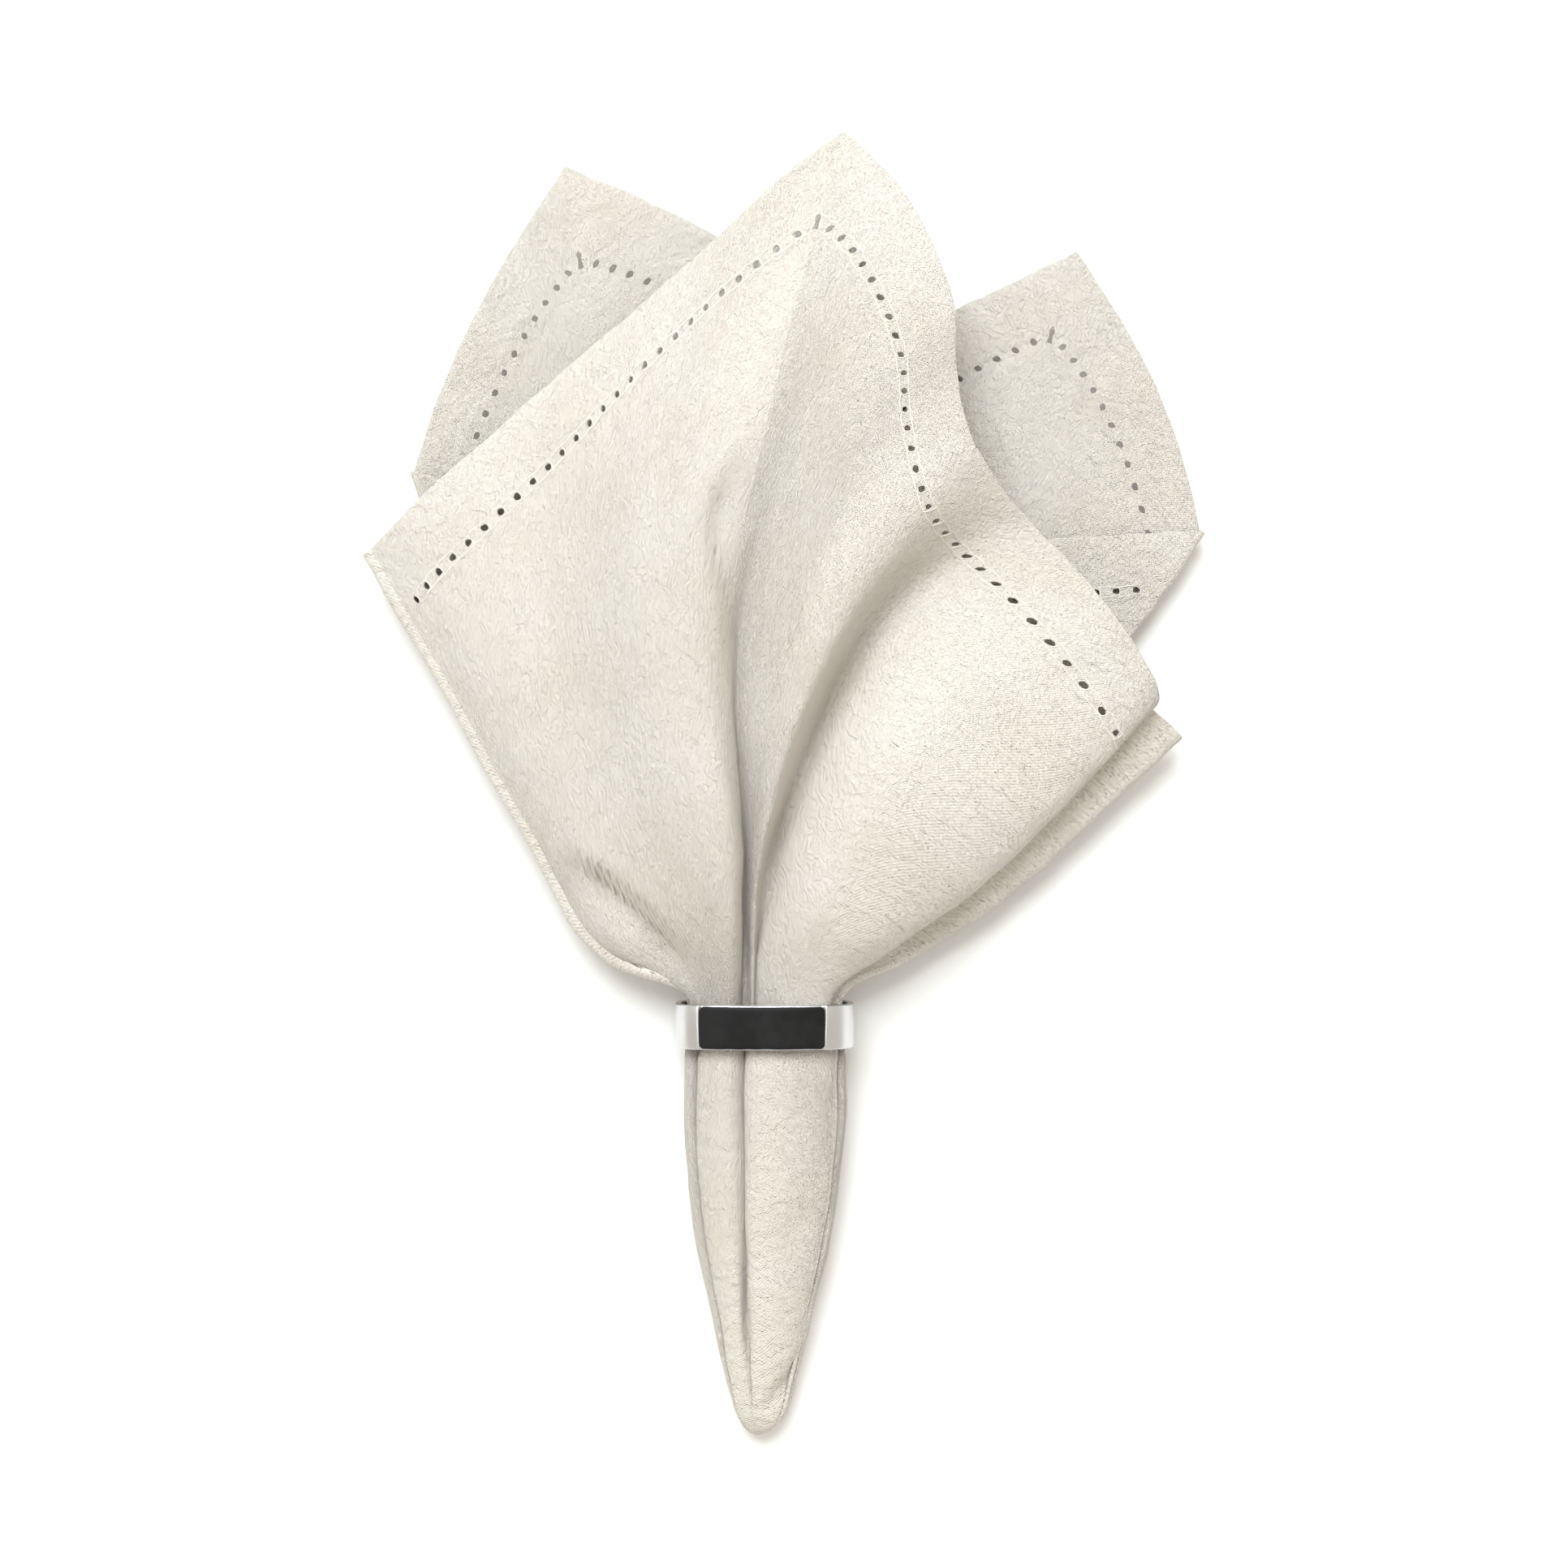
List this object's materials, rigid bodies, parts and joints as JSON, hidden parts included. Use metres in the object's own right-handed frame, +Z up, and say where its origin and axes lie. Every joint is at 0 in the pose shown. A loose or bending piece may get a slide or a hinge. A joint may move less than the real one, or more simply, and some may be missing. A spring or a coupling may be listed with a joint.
{
  "type": "napkin in a ring",
  "caption": "Square cotton napkin with a hemstitched border, drawn by its middle through a flat oval steel ring with a dark inlay so that its corners fan out",
  "frame": {"origin": "middle of the underside of the whole object, on the table", "axes": "+Z up from the table, +Y from the gathered tip towards the fanned corners, +X to the right seen from above with the tip towards the viewer"},
  "size_m": [0.2158, 0.3312, 0.0465],
  "materials": {
    "cloth": "off-white crinkled cotton, matte",
    "band": "fine brushed steel with polished edges",
    "inlay": "black satin enamel"
  },
  "bodies": {
    "root": {"napkin": "cloth", "ring_band": "band", "ring_inlay": "inlay"}
  },
  "joints": []
}
